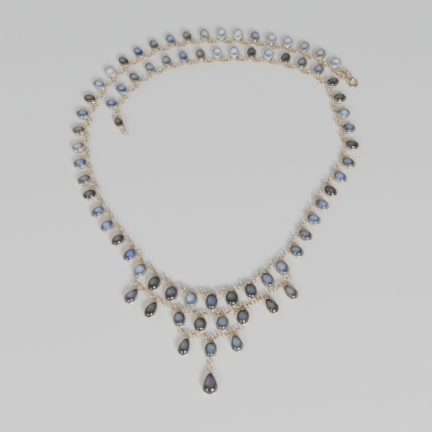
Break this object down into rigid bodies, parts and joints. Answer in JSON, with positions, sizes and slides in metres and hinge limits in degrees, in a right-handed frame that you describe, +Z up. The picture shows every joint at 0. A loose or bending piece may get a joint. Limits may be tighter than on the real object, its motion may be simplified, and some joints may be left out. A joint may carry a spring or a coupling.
{
  "type": "moonstone necklace",
  "caption": "Festoon necklace of cabochon moonstones in cup settings joined by round rings, with a two-tier bib of oval and pear stones and a bolt ring, lying open in an oval.",
  "frame": {"origin": "centre of the bounding box in plan, on the surface that the necklace lies on", "axes": "+X to the right of the bib, +Y from the bib to the clasp, +Z up from the surface"},
  "size_m": [0.1316, 0.1679, 0.0037],
  "materials": {
    "silver_gilt": "polished",
    "moonstone": "polished"
  },
  "bodies": {
    "necklace": {"row_setting_1": "silver_gilt", "row_setting_2": "silver_gilt", "row_setting_3": "silver_gilt", "row_setting_4": "silver_gilt", "row_setting_5": "silver_gilt", "row_setting_6": "silver_gilt", "row_setting_7": "silver_gilt", "row_setting_8": "silver_gilt", "row_setting_9": "silver_gilt", "row_stone_1": "moonstone", "row_stone_2": "moonstone", "row_stone_3": "moonstone", "row_stone_4": "moonstone", "row_stone_5": "moonstone", "row_stone_6": "moonstone", "row_stone_7": "moonstone", "row_stone_8": "moonstone", "row_stone_9": "moonstone", "tier_setting_1": "silver_gilt", "tier_setting_2": "silver_gilt", "tier_setting_3": "silver_gilt", "tier_setting_4": "silver_gilt", "tier_stone_1": "moonstone", "tier_stone_2": "moonstone", "tier_stone_3": "moonstone", "tier_stone_4": "moonstone", "drop_setting_1": "silver_gilt", "drop_setting_2": "silver_gilt", "drop_setting_3": "silver_gilt", "drop_setting_4": "silver_gilt", "drop_setting_5": "silver_gilt", "drop_setting_6": "silver_gilt", "drop_stone_1": "moonstone", "drop_stone_2": "moonstone", "drop_stone_3": "moonstone", "drop_stone_4": "moonstone", "drop_stone_5": "moonstone", "drop_stone_6": "moonstone", "centre_setting": "silver_gilt", "centre_stone": "moonstone", "pendant_setting": "silver_gilt", "pendant_stone": "moonstone", "left_settings": "silver_gilt", "left_stones": "moonstone", "left_links": "silver_gilt", "right_settings": "silver_gilt", "right_stones": "moonstone", "right_links": "silver_gilt", "row_links": "silver_gilt", "upper_swag_links": "silver_gilt", "lower_swag_links": "silver_gilt", "rosette": "silver_gilt", "bolt_ring": "silver_gilt", "clasp_links": "silver_gilt", "end_setting": "silver_gilt", "end_stone": "moonstone", "end_rings": "silver_gilt"},
    "tongue": {"bolt_tongue": "silver_gilt"}
  },
  "joints": [
    {"name": "tongue_slide", "type": "hinge", "parent": "necklace", "child": "tongue", "pos_m": [0.06329, 0.05416, 0.00083], "axis": [-0.0784, 0.0934, -0.9925], "range_deg": [0, 42], "stiffness_Nm_per_rad": 0.0005}
  ]
}
